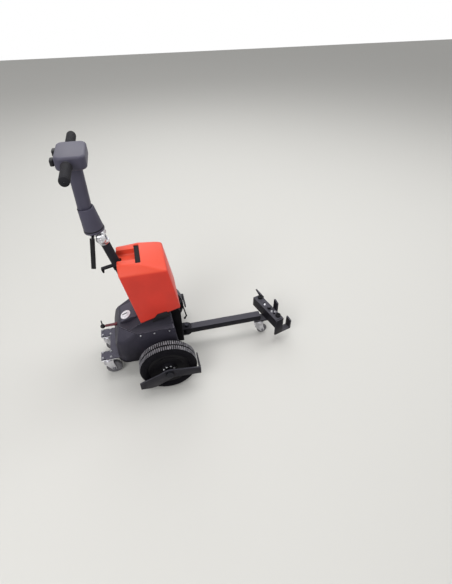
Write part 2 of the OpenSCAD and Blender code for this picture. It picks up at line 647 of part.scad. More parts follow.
module place() translate([x_shift, 0, 0]) children();
place() base_frame();
place() stub_axles();
place() guard_arms();
place() lower_cover();
place() upper_cover();
place() front_plate();
place() rear_cowl();
place() key_switch();
place() battery_block();
place() case_body();
place() case_top();
place() case_strap();
place() case_catches();
place() release_lever();
place() lever_knob();
place() front_column();
place() latch_rod();
place() carrier_plate();
place() caster_plates();
place() clevis();
place() lower_mast();
place() mast_bracket();
place() knuckle_base();
place() tyre(1);  // left_tyre
place() hub(1);  // left_hub
place() tyre(-1);  // right_tyre
place() hub(-1);  // right_hub
place() rear_fork(1);  // left_caster_fork
place() rear_wheel(1);  // left_caster_wheel
place() rear_fork(-1);  // right_caster_fork
place() rear_wheel(-1);  // right_caster_wheel
place() drawbar_tube();
place() nose_fork();
place() nose_wheel();
place() coupling_bar();
place() hook_blades();
place() bar_buffers();
place() knuckle_clamp();
place() tiller_boot();
place() tiller_arm();
place() tiller_head();
place() handlebar();
place() grips();
place() thumb_paddles();
place() clamp_lever();
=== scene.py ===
"""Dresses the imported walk-behind electric tug.

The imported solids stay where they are. Skins with rounded edges, the moulded battery case, the treaded
tyres, the grips and the small fasteners are added around them, and every piece gets its own finish.
Sizes in the dataclass fields are millimetres; `at` and `MM` turn them into metres.
"""
import json
import logging
import math
from dataclasses import dataclass, replace
from enum import Enum
from typing import Any, Callable, Iterable, Optional, Sequence

import bpy
from mathutils import Matrix, Vector


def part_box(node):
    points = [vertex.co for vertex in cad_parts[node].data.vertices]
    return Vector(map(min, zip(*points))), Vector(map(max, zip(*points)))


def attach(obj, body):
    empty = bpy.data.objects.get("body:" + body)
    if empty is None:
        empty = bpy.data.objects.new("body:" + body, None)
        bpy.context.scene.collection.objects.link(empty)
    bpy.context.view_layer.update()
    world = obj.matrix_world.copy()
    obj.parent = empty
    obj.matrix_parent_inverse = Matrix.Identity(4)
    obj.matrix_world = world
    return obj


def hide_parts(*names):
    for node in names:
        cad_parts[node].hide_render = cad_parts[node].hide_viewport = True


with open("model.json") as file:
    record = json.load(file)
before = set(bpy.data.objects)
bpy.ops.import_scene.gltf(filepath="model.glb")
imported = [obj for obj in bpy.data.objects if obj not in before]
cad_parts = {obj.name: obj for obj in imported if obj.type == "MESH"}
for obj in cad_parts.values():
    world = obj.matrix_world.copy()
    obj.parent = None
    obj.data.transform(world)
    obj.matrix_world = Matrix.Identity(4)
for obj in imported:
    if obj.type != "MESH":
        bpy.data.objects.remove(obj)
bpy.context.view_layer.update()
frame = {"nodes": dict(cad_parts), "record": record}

LOG = logging.getLogger("tug")
MM = 0.001
FLAT_WITHIN = 0.8  # neighbouring CAD facets that turn by fewer degrees are merged
# the drive axle's place along X: every size along X below is measured from it
AXLE_X = sum(corner.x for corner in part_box("left_tyre")) / 2
Pair = tuple[float, float]
Triple = tuple[float, float, float]
Profile = Sequence[Pair]
Piece = bpy.types.Object
Socket = bpy.types.NodeSocket


class Axis(Enum):
    """Directions that a fastener or a turned piece points in."""

    UP = (0.0, 0.0, 1.0)
    LEFT = (0.0, 1.0, 0.0)
    RIGHT = (0.0, -1.0, 0.0)

    @property
    def turn(self) -> Matrix:
        """The rotation that takes +Z to this direction."""
        return Vector(self.value).to_track_quat("Z", "Y").to_matrix().to_4x4()


class Side(Enum):
    """The two sides of the tug, as the sign of Y."""

    LEFT = 1
    RIGHT = -1

    @property
    def word(self) -> str:
        """The side's word in node names."""
        return self.name.lower()

    @property
    def out(self) -> Axis:
        """The direction away from the tug's middle."""
        return Axis[self.name]

    def face(self, node: str) -> float:
        """The place along Y of a CAD node's outer face on this side."""
        low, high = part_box(node)
        return high.y if self is Side.LEFT else low.y


def at(x: float, y: float, z: float) -> Vector:
    """Turns millimetres from the drive axle, the centre plane and the floor into scene metres."""
    return Vector((AXLE_X + x * MM, y * MM, z * MM))


def centre(node: str) -> Vector:
    """The middle of a CAD node's box."""
    low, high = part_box(node)
    return (low + high) / 2


# ---------------------------------------------------------------- finishes


def linear(code: str) -> tuple[float, float, float, float]:
    """Turns six sRGB hex digits, such as "c9392f", into linear red, green, blue and alpha."""
    parts = [int(code[i : i + 2], 16) / 255 for i in (0, 2, 4)]
    return (*[p / 12.92 if p <= 0.04045 else ((p + 0.055) / 1.055) ** 2.4 for p in parts], 1.0)


def add(tree: bpy.types.NodeTree, kind: str, inputs: Optional[dict] = None,
        **settings: Any) -> bpy.types.Node:
    """Adds one node to a tree.

    Args:
        tree: the tree it goes into.
        kind: its type, without the leading "ShaderNode".
        inputs: values, hex colours or source sockets for its inputs, by name or number.
        settings: its own properties.

    Returns:
        The new node.
    """
    made = tree.nodes.new("ShaderNode" + kind)
    for name, value in settings.items():
        setattr(made, name, value)
    for name, value in (inputs or {}).items():
        if isinstance(value, Socket):
            tree.links.new(value, made.inputs[name])
        else:
            made.inputs[name].default_value = linear(value) if isinstance(value, str) else value
    return made


# makes a Mix node mix colours: its inputs are 0, the share of the second, and 6 and 7, the two colours
COLOURS: dict[str, Any] = {"data_type": "RGBA", "out": 2}


class Graph:
    """A material in the making: its tree, its shader's inputs and the object's own coordinates.

    A MapRange node's inputs are 0, the value, 1 and 2, the range it is in, and 3 and 4, the range it is
    stretched to, which is 0 to 1 where they aren't given.
    """

    def __init__(self, finish: "Finish") -> None:
        """Starts the material with the finish's plain values.

        Args:
            finish: the finish that it is made for.
        """
        self.material = bpy.data.materials.new(finish.name)
        self.material.use_nodes = True
        self.tree = self.material.node_tree
        self.inputs = self.tree.nodes["Principled BSDF"].inputs
        for name, value in (("Base Color", linear(finish.colour)), ("Roughness", finish.roughness),
                            ("Metallic", finish.metallic), ("Coat Weight", finish.coat),
                            ("Specular IOR Level", finish.specular)):
            self.inputs[name].default_value = value
        self.place = self.add("TexCoord", out="Object")

    def add(self, kind: str, inputs: Optional[dict] = None, out: Any = 0, **settings: Any) -> Socket:
        """Adds one node to the material and returns its output of that name or number."""
        return add(self.tree, kind, inputs, **settings).outputs[out]

    def feed(self, colour: Socket, relief: Socket, rough: Optional[Socket] = None) -> None:
        """Links the finished patterns to the shader.

        Args:
            colour: the surface's colour.
            relief: its bent normal.
            rough: its roughness, where that isn't even.
        """
        for name, source in (("Base Color", colour), ("Normal", relief), ("Roughness", rough)):
            if source is not None:
                self.tree.links.new(source, self.inputs[name])


@dataclass(frozen=True)
class Finish:
    """What every finish shares: a name, a colour and the shader's plain values."""

    name: str
    colour: str
    roughness: float = 0.5
    metallic: float = 0.0
    coat: float = 0.0
    specular: float = 0.25

    def build(self) -> bpy.types.Material:
        """Makes the material.

        Returns:
            The new material.
        """
        graph = Graph(self)
        self.paint(graph)
        return graph.material

    def paint(self, graph: Graph) -> None:
        """Adds colour, sheen and grain; each kind of finish has its own."""
        raise NotImplementedError


@dataclass(frozen=True)
class PowderCoat(Finish):
    """Thermoset powder on sheet steel: orange-peel grain, dull sheen, worn edges with a painted highlight,
    dust with a painted sheen on faces that look up, and floor dust low down, which on the lower cover is
    painted shade.
    """

    # the paler colour of worn paint; on rounded edges it is also a painted highlight, on faces that look up a
    # painted sheen
    edge: str = "75747e"
    worn: float = 0.0  # how much of the surface shows the worn colour; the rounded edges get a twin that is worn and also painted lighter, a painted highlight
    # the low colour: floor dust; the lower cover's near-black one is painted shade
    dust: str = "8d8a86"
    blotch_mm: float = 70.0
    rub_mm: float = 12.0
    grain_mm: float = 3.0  # the real peel is under 1 mm; drawn coarser so that it shows
    dusty_from: float = 0.02  # heights in metres: the low colour, floor dust and on the lower cover painted shade, is full at the first and gone above the second
    dusty_to: float = 0.14
    dust_most: float = 0.3
    settled: float = 0.45  # how far faces that look up are mixed towards the edge colour: dust that settles there, and a painted sheen as if lit from above
    specular: float = 0.12

    def rubbed(self) -> "PowderCoat":
        """The same coat on a rounded edge: worn by use, and paler as a painted highlight where the edge would
        catch the light.
        """
        return replace(self, name=self.name + "_edge", worn=0.85, roughness=self.roughness - 0.08)

    def paint(self, graph: Graph) -> None:
        """Blotches the coat, rubs it, lightens what looks up with dust and a painted sheen, and mixes the low
        colour into what is low: floor dust, and on the lower cover painted shade.

        Args:
            graph: the material in the making.
        """
        base = linear(self.colour)
        lighter = (*[min(1.0, c * 1.35 + 0.004) for c in base[:3]], 1.0)
        blotch = graph.add("TexNoise", {"Vector": graph.place, "Scale": 1000 / self.blotch_mm, "Detail": 5.0,
                                        "Roughness": 0.6})
        share = graph.add("MapRange", {0: blotch, 1: 0.35, 2: 0.7})
        colour = graph.add("Mix", {0: share, 6: base, 7: lighter}, **COLOURS)
        # worn paint: where worn is high, on the rounded edges, it is also a painted highlight
        broken = graph.add("TexNoise", {"Vector": graph.place, "Scale": 1000 / self.rub_mm, "Detail": 4.0,
                                        "Roughness": 0.7})
        share = graph.add("MapRange", {0: broken, 1: 0.38, 2: 0.62, 4: self.worn})
        colour = graph.add("Mix", {0: share, 6: colour, 7: self.edge}, **COLOURS)
        # painted sheen and dust: faces that look up are mixed towards the edge colour, lighter as if lit from
        # above
        facing = graph.add("SeparateXYZ", {0: graph.add("TexCoord", out="Normal")}, "Z")
        share = graph.add("MapRange", {0: facing, 1: 0.55, 2: 0.98, 4: self.settled})
        colour = graph.add("Mix", {0: share, 6: colour, 7: self.edge}, **COLOURS)
        # the low colour near the floor: floor dust, and on the lower cover painted shade along its bottom
        height = graph.add("SeparateXYZ", {0: graph.place}, "Z")
        low_down = graph.add("MapRange", {0: height, 1: self.dusty_to, 2: self.dusty_from,
                                          4: self.dust_most})
        patchy = graph.add("MapRange", {0: blotch, 1: 0.3, 2: 0.75})
        share = graph.add("Math", {0: low_down, 1: patchy}, operation="MULTIPLY")
        colour = graph.add("Mix", {0: share, 6: colour, 7: self.dust}, **COLOURS)
        rough = graph.add("MapRange", {0: blotch, 1: 0.3, 2: 0.75, 3: self.roughness - 0.06,
                                       4: self.roughness + 0.1})
        grain = graph.add("TexNoise", {"Vector": graph.place, "Scale": 1000 / self.grain_mm, "Detail": 1.0})
        relief = graph.add("Bump", {"Height": grain, "Strength": 0.25, "Distance": 0.25 * MM})
        graph.feed(colour, relief, rough)


@dataclass(frozen=True)
class Moulding(Finish):
    """Injection-moulded ABS: even colour, fine spark-eroded grain, scuffed by use."""

    pale: str = ""
    pale_from: float = 9.0  # height in metres above which the top is painted lighter: a painted highlight of the light from above
    pale_to: float = 10.0
    scuff: str = ""
    scuff_mm: float = 14.0
    cloud_mm: float = 120.0
    grain_mm: float = 1.6  # the real grain is about 0.3 mm; drawn coarser so that it shows

    def paint(self, graph: Graph) -> None:
        """Clouds the colour, paints the top lighter as painted light from above, and scuffs it.

        Args:
            graph: the material in the making.
        """
        base = linear(self.colour)
        deeper = (*[c * 0.86 for c in base[:3]], 1.0)
        cloud = graph.add("TexNoise", {"Vector": graph.place, "Scale": 1000 / self.cloud_mm, "Detail": 3.0})
        share = graph.add("MapRange", {0: cloud, 1: 0.35, 2: 0.65})
        colour = graph.add("Mix", {0: share, 6: deeper, 7: base}, **COLOURS)
        # painted light: above a height, the top is mixed towards a paler red, as if lit from above
        if self.pale:
            height = graph.add("SeparateXYZ", {0: graph.place}, "Z")
            share = graph.add("MapRange", {0: height, 1: self.pale_from, 2: self.pale_to})
            colour = graph.add("Mix", {0: share, 6: colour, 7: self.pale}, **COLOURS)
        if self.scuff:
            drawn_out = graph.add("Mapping", {"Vector": graph.place, "Scale": (0.35, 1.0, 1.6)})
            mark = graph.add("TexNoise", {"Vector": drawn_out, "Scale": 1000 / self.scuff_mm, "Detail": 6.0,
                                          "Roughness": 0.75})
            share = graph.add("MapRange", {0: mark, 1: 0.66, 2: 0.8, 4: 0.55})
            colour = graph.add("Mix", {0: share, 6: colour, 7: self.scuff}, **COLOURS)
        rough = graph.add("MapRange", {0: cloud, 1: 0.3, 2: 0.7, 3: self.roughness - 0.05,
                                       4: self.roughness + 0.07})
        grain = graph.add("TexNoise", {"Vector": graph.place, "Scale": 1000 / self.grain_mm, "Detail": 1.0})
        relief = graph.add("Bump", {"Height": grain, "Strength": 0.2, "Distance": 0.12 * MM})
        graph.feed(colour, relief, rough)


@dataclass(frozen=True)
class ZincPlate(Finish):
    """Bright zinc on pressed or turned steel: cool silver with a faint spangle and dull, handled patches."""

    metallic: float = 1.0
    specular: float = 0.5
    dull: str = "6c6c70"
    spangle_mm: float = 6.0
    patch_mm: float = 25.0

    def paint(self, graph: Graph) -> None:
        """Adds the spangle and the dull patches.

        Args:
            graph: the material in the making.
        """
        cells = graph.add("TexVoronoi", {"Vector": graph.place, "Scale": 1000 / self.spangle_mm}, "Distance")
        patch = graph.add("TexNoise", {"Vector": graph.place, "Scale": 1000 / self.patch_mm, "Detail": 4.0})
        share = graph.add("MapRange", {0: patch, 1: 0.45, 2: 0.7, 4: 0.7})
        colour = graph.add("Mix", {0: share, 6: self.colour, 7: self.dull}, **COLOURS)
        rough = graph.add("MapRange", {0: cells, 1: 0.0, 2: 0.8, 3: self.roughness - 0.08,
                                       4: self.roughness + 0.1})
        relief = graph.add("Bump", {"Height": patch, "Strength": 0.15, "Distance": 0.1 * MM})
        graph.feed(colour, relief, rough)


@dataclass(frozen=True)
class Rubber(Finish):
    """Vulcanised rubber: soft dark matt surface, greyed by dust where it rolls or is gripped."""

    dust: str = "77767a"
    dust_most: float = 0.5
    dust_mm: float = 18.0
    grain_mm: float = 2.0
    specular: float = 0.15

    def paint(self, graph: Graph) -> None:
        """Adds patches of dust and a fine grain.

        Args:
            graph: the material in the making.
        """
        patch = graph.add("TexNoise", {"Vector": graph.place, "Scale": 1000 / self.dust_mm, "Detail": 5.0,
                                       "Roughness": 0.65})
        share = graph.add("MapRange", {0: patch, 1: 0.4, 2: 0.75, 4: self.dust_most})
        colour = graph.add("Mix", {0: share, 6: self.colour, 7: self.dust}, **COLOURS)
        rough = graph.add("MapRange", {0: patch, 1: 0.35, 2: 0.75, 3: self.roughness - 0.1,
                                       4: self.roughness + 0.08})
        grain = graph.add("TexNoise", {"Vector": graph.place, "Scale": 1000 / self.grain_mm, "Detail": 2.0})
        relief = graph.add("Bump", {"Height": grain, "Strength": 0.3, "Distance": 0.2 * MM})
        graph.feed(colour, relief, rough)


@dataclass(frozen=True)
class TreadRubber(Rubber):
    """Tyre rubber: near-black side walls and a grey, dusty, worn running band."""

    axle: Pair = (0.0, 0.0)
    band_from: float = 0.1305  # radius in metres at which the worn lug tops start
    band_to: float = 0.1322
    worn: str = "96959a"

    def paint(self, graph: Graph) -> None:
        """Tells wall from running band by the radius, because the wheel turns.

        Args:
            graph: the material in the making.
        """
        offset = graph.add("VectorMath", {0: graph.place, 1: (self.axle[0], 0.0, self.axle[1])},
                           operation="SUBTRACT")
        flat = graph.add("VectorMath", {0: offset, 1: (1.0, 0.0, 1.0)}, operation="MULTIPLY")
        radius = graph.add("VectorMath", {0: flat}, "Value", operation="LENGTH")
        patch = graph.add("TexNoise", {"Vector": graph.place, "Scale": 1000 / self.dust_mm, "Detail": 5.0,
                                       "Roughness": 0.65})
        share = graph.add("MapRange", {0: patch, 1: 0.4, 2: 0.8, 4: self.dust_most})
        wall = graph.add("Mix", {0: share, 6: self.colour, 7: self.dust}, **COLOURS)
        share = graph.add("MapRange", {0: patch, 1: 0.3, 2: 0.7})
        worn = graph.add("Mix", {0: share, 6: self.dust, 7: self.worn}, **COLOURS)
        share = graph.add("MapRange", {0: radius, 1: self.band_from, 2: self.band_to})
        colour = graph.add("Mix", {0: share, 6: wall, 7: worn}, **COLOURS)
        grain = graph.add("TexNoise", {"Vector": graph.place, "Scale": 1000 / self.grain_mm, "Detail": 2.0})
        relief = graph.add("Bump", {"Height": grain, "Strength": 0.3, "Distance": 0.2 * MM})
        graph.feed(colour, relief)


@dataclass(frozen=True)
class Webbing(Finish):
    """Woven polypropylene strap: matt black with a diagonal rib of about 2 mm."""

    rib_mm: float = 2.2
    rib_top: str = "1d1c1f"

    def paint(self, graph: Graph) -> None:
        """Adds the weave.

        Args:
            graph: the material in the making.
        """
        fine = 2000 / self.rib_mm / math.tau
        weave = graph.add("TexWave", {"Vector": graph.place, "Scale": fine, "Distortion": 0.4}, "Fac",
                          bands_direction="DIAGONAL")
        colour = graph.add("Mix", {0: weave, 6: self.colour, 7: self.rib_top}, **COLOURS)
        relief = graph.add("Bump", {"Height": weave, "Strength": 0.5, "Distance": 0.3 * MM})
        graph.feed(colour, relief)


@dataclass(frozen=True)
class Enamel(Finish):
    """Stoved enamel on a small plate: smooth and glossy with a few grimy freckles."""

    grime: str = "8f8a88"
    freckle_mm: float = 8.0

    def paint(self, graph: Graph) -> None:
        """Adds the freckles.

        Args:
            graph: the material in the making.
        """
        freckle = graph.add("TexNoise", {"Vector": graph.place, "Scale": 1000 / self.freckle_mm,
                                         "Detail": 5.0, "Roughness": 0.7})
        share = graph.add("MapRange", {0: freckle, 1: 0.56, 2: 0.75, 4: 0.6})
        colour = graph.add("Mix", {0: share, 6: self.colour, 7: self.grime}, **COLOURS)
        relief = graph.add("Bump", {"Height": freckle, "Strength": 0.1, "Distance": 0.05 * MM})
        graph.feed(colour, relief)


COVER = PowderCoat("powder_coat_slate", "2e2c36", roughness=0.5, edge="6c6a77", dust_most=0.2)
# darker than the slate coat, with little painted sheen: painted shade of the battery case's shadow on the
# deck
RIM_PAINT_SHADED = replace(COVER, name="powder_coat_rim", colour="25232c", edge="716e7a", settled=0.15)
# its near-black low colour is painted shade: the cover darkens towards its bottom
LOWER_PAINT_SHADED = replace(COVER, name="powder_coat_lower", dust="09080c", dust_most=2.2, dusty_to=0.25)
# its very pale edge colour is a light strip along the plate's rounded edges: worn paint and a painted
# highlight
FRONT_PAINT = replace(COVER, name="powder_coat_front", edge="a5a3ae")
FRAME_PAINT = PowderCoat("powder_coat_black", "08070b", roughness=0.55, edge="38373e", dust_most=0.12,
                         specular=0.06)
ARM_PAINT = PowderCoat("powder_coat_arm", "1d1c22", roughness=0.5, edge="54535b", dust_most=0.2)
BAR_PAINT = PowderCoat("powder_coat_drawbar", "15141a", roughness=0.5, edge="626169", specular=0.08)
# its paler, more orange top is painted light from above
CASE_RED = Moulding("moulded_abs_red", "d23a2d", roughness=0.42, scuff="a83328", pale="d94b35",
                    pale_from=0.600, pale_to=0.607)
BLACK_ABS = Moulding("moulded_abs_black", "121116", roughness=0.5, scuff="3a3940")
TILLER_ABS = Moulding("moulded_tiller_slate", "464453", roughness=0.45, scuff="615f6c")
CELLS = Moulding("battery_case_black", "202024", roughness=0.6)
LEVER_RED = Moulding("moulded_lever_dark_red", "5a1a26", roughness=0.35, coat=0.2)
HUB_PAINT = PowderCoat("wheel_disc_black", "08070b", roughness=0.42, edge="232228", dust_most=0.06)
ZINC = ZincPlate("zinc_plated_steel", "d6d6da", roughness=0.3, dull="9a9aa0")
STEEL = ZincPlate("machined_steel", "8f8f94", roughness=0.3, dull="55555a")
DARK_STEEL = ZincPlate("oiled_steel", "303036", roughness=0.45, dull="1d1d21")
# a dark red for faces that look down: painted shade
UNDERSIDE_SHADE = Moulding("moulded_abs_red_grimy", "6f1713", roughness=0.5, scuff="4a0f0d")
FORK_ZINC = ZincPlate("pressed_zinc_fork", "dcdbe0", roughness=0.34, dull="a4a4aa")
TYRE = TreadRubber("tyre_rubber", "08070b", roughness=0.85, dust="36353b", dust_most=0.12, specular=0.08)
GRIP = Rubber("grip_rubber", "17161a", roughness=0.7, dust="3c3b40", dust_most=0.35)
BUFFER = Rubber("buffer_rubber", "111114", roughness=0.7, dust="2c2c30", dust_most=0.4)
CASTER = Rubber("caster_polyurethane", "605f64", roughness=0.5, dust="7f7d7c", dust_most=0.5)
STRAP = Webbing("webbing_black", "0f0e10", roughness=0.85)
DIAL = Enamel("enamel_white", "e6e4ea", roughness=0.3, coat=0.3)

_BUILT: dict[str, bpy.types.Material] = {}


def dress(piece: Piece, *finishes: Finish) -> None:
    """Gives a piece its finishes, each built once and shared.

    Args:
        piece: the mesh object.
        finishes: its finishes; its faces choose among them by their index.
    """
    chosen = [face.material_index for face in piece.data.polygons]
    piece.data.materials.clear()
    for finish in finishes:
        if finish.name not in _BUILT:
            _BUILT[finish.name] = finish.build()
        piece.data.materials.append(_BUILT[finish.name])
    for face, index in zip(piece.data.polygons, chosen):
        face.material_index = min(index, len(finishes) - 1)


def plain(finish: Finish, *nodes: str) -> None:
    """Dresses CAD nodes that stay as the CAD shapes them."""
    for node in nodes:
        dress(frame["nodes"][node], finish)


# ---------------------------------------------------------------- modelling helpers


def deselect() -> None:
    """Leaves edit mode and deselects everything."""
    if bpy.context.object and bpy.context.object.mode != "OBJECT":
        bpy.ops.object.mode_set(mode="OBJECT")
    bpy.ops.object.select_all(action="DESELECT")


def take(piece: Piece) -> None:
    """Makes a piece the only selected and active object.

    Args:
        piece: the mesh object.
    """
    deselect()
    piece.select_set(True)
    bpy.context.view_layer.objects.active = piece


def edit_all(piece: Piece) -> None:
    """Enters edit mode with the whole mesh selected.

    Args:
        piece: the mesh object.
    """
    take(piece)
    bpy.ops.object.mode_set(mode="EDIT")
    bpy.ops.mesh.select_all(action="SELECT")


def choose(piece: Piece, test: Callable[[Vector, Vector], bool]) -> None:
    """Enters edit mode with some faces selected.

    Args:
        piece: the mesh object.
        test: takes a face's middle and its normal and says whether it is selected.
    """
    take(piece)
    bpy.ops.object.mode_set(mode="EDIT")
    bpy.ops.mesh.select_all(action="DESELECT")
    bpy.ops.mesh.select_mode(type="FACE")
    bpy.ops.object.mode_set(mode="OBJECT")
    for face in piece.data.polygons:
        face.select = test(face.center, face.normal)
    bpy.ops.object.mode_set(mode="EDIT")


def looks_up(middle: Vector, normal: Vector) -> bool:
    """Tells whether a face looks up; a test for choose."""
    return normal.z > 0.9


def settle(piece: Piece) -> None:
    """Puts a piece's place, turn and scale into its mesh."""
    take(piece)
    bpy.ops.object.transform_apply(location=True, rotation=True, scale=True)


def smooth(piece: Piece, degrees: float = 35.0) -> None:
    """Shades a piece smooth below an angle."""
    take(piece)
    bpy.ops.object.shade_smooth_by_angle(angle=math.radians(degrees))


def modify(piece: Piece, kind: str, **settings: Any) -> None:
    """Adds a modifier and applies it.

    Args:
        piece: the mesh object.
        kind: the modifier's type.
        settings: its own properties.
    """
    take(piece)
    modifier = piece.modifiers.new(kind.title(), kind)
    for name, value in settings.items():
        setattr(modifier, name, value)
    bpy.ops.object.modifier_apply(modifier=modifier.name)


def block(middle: Vector, size_mm: Iterable[float]) -> Piece:
    """Adds a box, which is then shaped further.

    Args:
        middle: its middle, in metres.
        size_mm: its sizes along X, Y and Z, in millimetres.

    Returns:
        The box, its place in its mesh.
    """
    deselect()
    bpy.ops.mesh.primitive_cube_add(size=1.0, location=middle)
    piece = bpy.context.object
    piece.scale = [size * MM for size in size_mm]
    settle(piece)
    return piece


def carve(piece: Piece, tool: Piece, keep: bool = False) -> None:
    """Cuts a tool's form out of a piece.

    Args:
        piece: the mesh object.
        tool: the form, closed.
        keep: whether the tool stays in the scene.
    """
    modify(piece, "BOOLEAN", operation="DIFFERENCE", object=tool, solver="EXACT")
    if not keep:
        bpy.data.objects.remove(tool)


def round_edges(piece: Piece, width_mm: float, segments: int = 2, angle: float = 32.0) -> None:
    """Rounds the edges that are sharper than an angle in degrees."""
    modify(piece, "BEVEL", width=width_mm * MM, segments=segments, limit_method="ANGLE",
           angle_limit=math.radians(angle), use_clamp_overlap=True)


def round_ridges(piece: Piece, width_mm: float, segments: int, angle: float, index: int,
                 test: Optional[Callable[[Vector, Vector, Vector], bool]] = None) -> None:
    """Rounds the outward edges only.

    Args:
        piece: the mesh object.
        width_mm: the rounding's width.
        segments: faces across the rounding.
        angle: edges sharper than this, in degrees, are rounded.
        index: the new faces' finish.
        test: takes an edge's middle and its two normals and says whether this edge is rounded.
    """
    mesh = piece.data
    sides: dict[tuple[int, int], list[tuple[Vector, Vector]]] = {}
    for face in mesh.polygons:
        for first, second in zip(face.vertices, [*face.vertices[1:], face.vertices[0]]):
            inward = face.normal.cross(mesh.vertices[second].co - mesh.vertices[first].co)
            sides.setdefault(tuple(sorted((first, second))), []).append((face.normal, inward))
    weights, limit = [], math.cos(math.radians(angle))
    for edge in mesh.edges:
        pair = sides.get(tuple(sorted(edge.vertices)), [])
        ridge = len(pair) == 2 and pair[0][0].dot(pair[1][0]) < limit and pair[0][0].dot(pair[1][1]) < 0
        middle = (mesh.vertices[edge.vertices[0]].co + mesh.vertices[edge.vertices[1]].co) / 2
        weights.append(float(ridge and (test is None or test(middle, pair[0][0], pair[1][0]))))
    marks = mesh.attributes.new("bevel_weight_edge", "FLOAT", "EDGE")
    marks.data.foreach_set("value", weights)
    modify(piece, "BEVEL", width=width_mm * MM, segments=segments, limit_method="WEIGHT",
           use_clamp_overlap=test is None, material=index)
    marks = piece.data.attributes.get("bevel_weight_edge")
    if marks:
        piece.data.attributes.remove(marks)


def outward(piece: Piece) -> None:
    """Merges doubles and turns all faces outwards.

    Args:
        piece: the mesh object.
    """
    edit_all(piece)
    bpy.ops.mesh.remove_doubles(threshold=1e-6)
    bpy.ops.mesh.normals_make_consistent(inside=False)
    bpy.ops.object.mode_set(mode="OBJECT")


def body_of(node: str) -> str:
    """The body that a CAD node rides on."""
    bodies = frame["record"]["behaviour"]["bodies"]
    return next(name for name, nodes in bodies.items() if node in nodes)


def place_piece(piece: Piece, name: str, body: str, finish: Finish,
                stands_for: Iterable[str] = (),
                second: Optional[Finish] = None) -> None:
    """Names, dresses and mounts a finished piece.

    Args:
        piece: the finished mesh object.
        name: its name.
        body: the CAD body that it rides on.
        finish: its finish.
        stands_for: the CAD nodes that it replaces.
        second: the finish of its faces of material index 1, where it has such faces.
    """
    settle(piece)
    piece.name = name
    piece.data.name = name
    dress(piece, *([finish, second] if second else [finish]))
    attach(piece, body)
    for node in stands_for:
        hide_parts(node)
    LOG.info("%s on %s, %d faces", name, body, len(piece.data.polygons))


def skin(node: str, finish: Finish, width_mm: float, segments: int = 2, angle: float = 32.0,
         shape: Optional[Callable[[Piece], None]] = None) -> None:
    """Copies a CAD node, rounds its edges and lets the copy stand for it.

    Args:
        node: the CAD node.
        finish: the skin's finish.
        width_mm: the rounding's width.
        segments: faces across the rounding.
        angle: edges sharper than this, in degrees, are rounded.
        shape: changes the copy before its edges are rounded.
    """
    piece = bpy.data.objects.new(node + "_skin", frame["nodes"][node].data.copy())
    bpy.context.scene.collection.objects.link(piece)
    edit_all(piece)
    bpy.ops.mesh.remove_doubles(threshold=2e-6)
    bpy.ops.mesh.dissolve_limited(angle_limit=math.radians(FLAT_WITHIN))
    bpy.ops.object.mode_set(mode="OBJECT")
    # the rounded edges' twin coat: worn paint and a painted highlight
    rubbed = finish.rubbed() if isinstance(finish, PowderCoat) else None
    for face in piece.data.polygons:
        face.material_index = 0
    for _ in range(2):  # the rounded edges' faces need a second slot
        piece.data.materials.append(None)
    if shape:
        shape(piece)
    round_ridges(piece, width_mm, segments, angle, 1 if rubbed else 0)
    smooth(piece, 40.0)
    place_piece(piece, node + "_skin", body_of(node), finish, [node], second=rubbed)


def copies(pattern: Piece, places: Iterable[Matrix]) -> Piece:
    """Sets copies of one small mesh at several places.

    Args:
        pattern: the object that is copied, each copy with its own mesh. It is used up.
        places: where the copies go.

    Returns:
        The copies, joined.
    """
    made = []
    for place in places:
        mesh = pattern.data.copy()
        mesh.transform(place)
        piece = bpy.data.objects.new(pattern.name, mesh)
        bpy.context.scene.collection.objects.link(piece)
        made.append(piece)
    bpy.data.objects.remove(pattern)
    return join(made)


def join(parts: Sequence[Piece]) -> Piece:
    """Joins objects into the first one.

    Args:
        parts: the mesh objects.

    Returns:
        The first one.
    """
    take(parts[0])
    for part in parts[1:]:
        part.select_set(True)
    bpy.ops.object.join()
    return bpy.context.object


def revolve(profile: Profile, middle: Vector, axis: Axis, steps: int = 48) -> Piece:
    """Turns a closed outline round an axis.

    Args:
        profile: points as (radius, distance along the axis) in millimetres, in order round the outline.
        middle: the point on the axis that the distances are measured from.
        axis: the axis.
        steps: faces round the axis.

    Returns:
        The turned piece, closed, with its faces outwards.
    """
    deselect()
    bpy.ops.mesh.primitive_circle_add(vertices=len(profile), radius=1.0, location=(0, 0, 0))
    piece = bpy.context.object
    for vertex, (radius, along) in zip(piece.data.vertices, profile):
        vertex.co = (radius * MM, 0.0, along * MM)
    edit_all(piece)
    bpy.ops.mesh.spin(steps=steps, angle=math.tau, center=(0, 0, 0), axis=(0, 0, 1))
    bpy.ops.object.mode_set(mode="OBJECT")
    piece.data.transform(Matrix.Translation(middle) @ axis.turn)
    outward(piece)
    smooth(piece)
    return piece


def prism(sides: int, across: float, height: float, foot: float, chamfer: float, segments: int = 1) -> Piece:
    """Models an upright prism over the origin, its top edges taken off.

    Args:
        sides: the number of its sides.
        across: its size across corners, in millimetres as below.
        height: its height.
        foot: the height that it starts at.
        chamfer: what is taken off the top edges.
        segments: faces across the chamfer.

    Returns:
        The prism.
    """
    deselect()
    bpy.ops.mesh.primitive_cylinder_add(vertices=sides, radius=across / 2 * MM, depth=height * MM,
                                        location=(0, 0, (height / 2 + foot) * MM))
    piece = bpy.context.object
    settle(piece)
    choose(piece, looks_up)
    bpy.ops.mesh.bevel(offset=chamfer * MM, segments=segments, affect="EDGES")
    bpy.ops.object.mode_set(mode="OBJECT")
    return piece


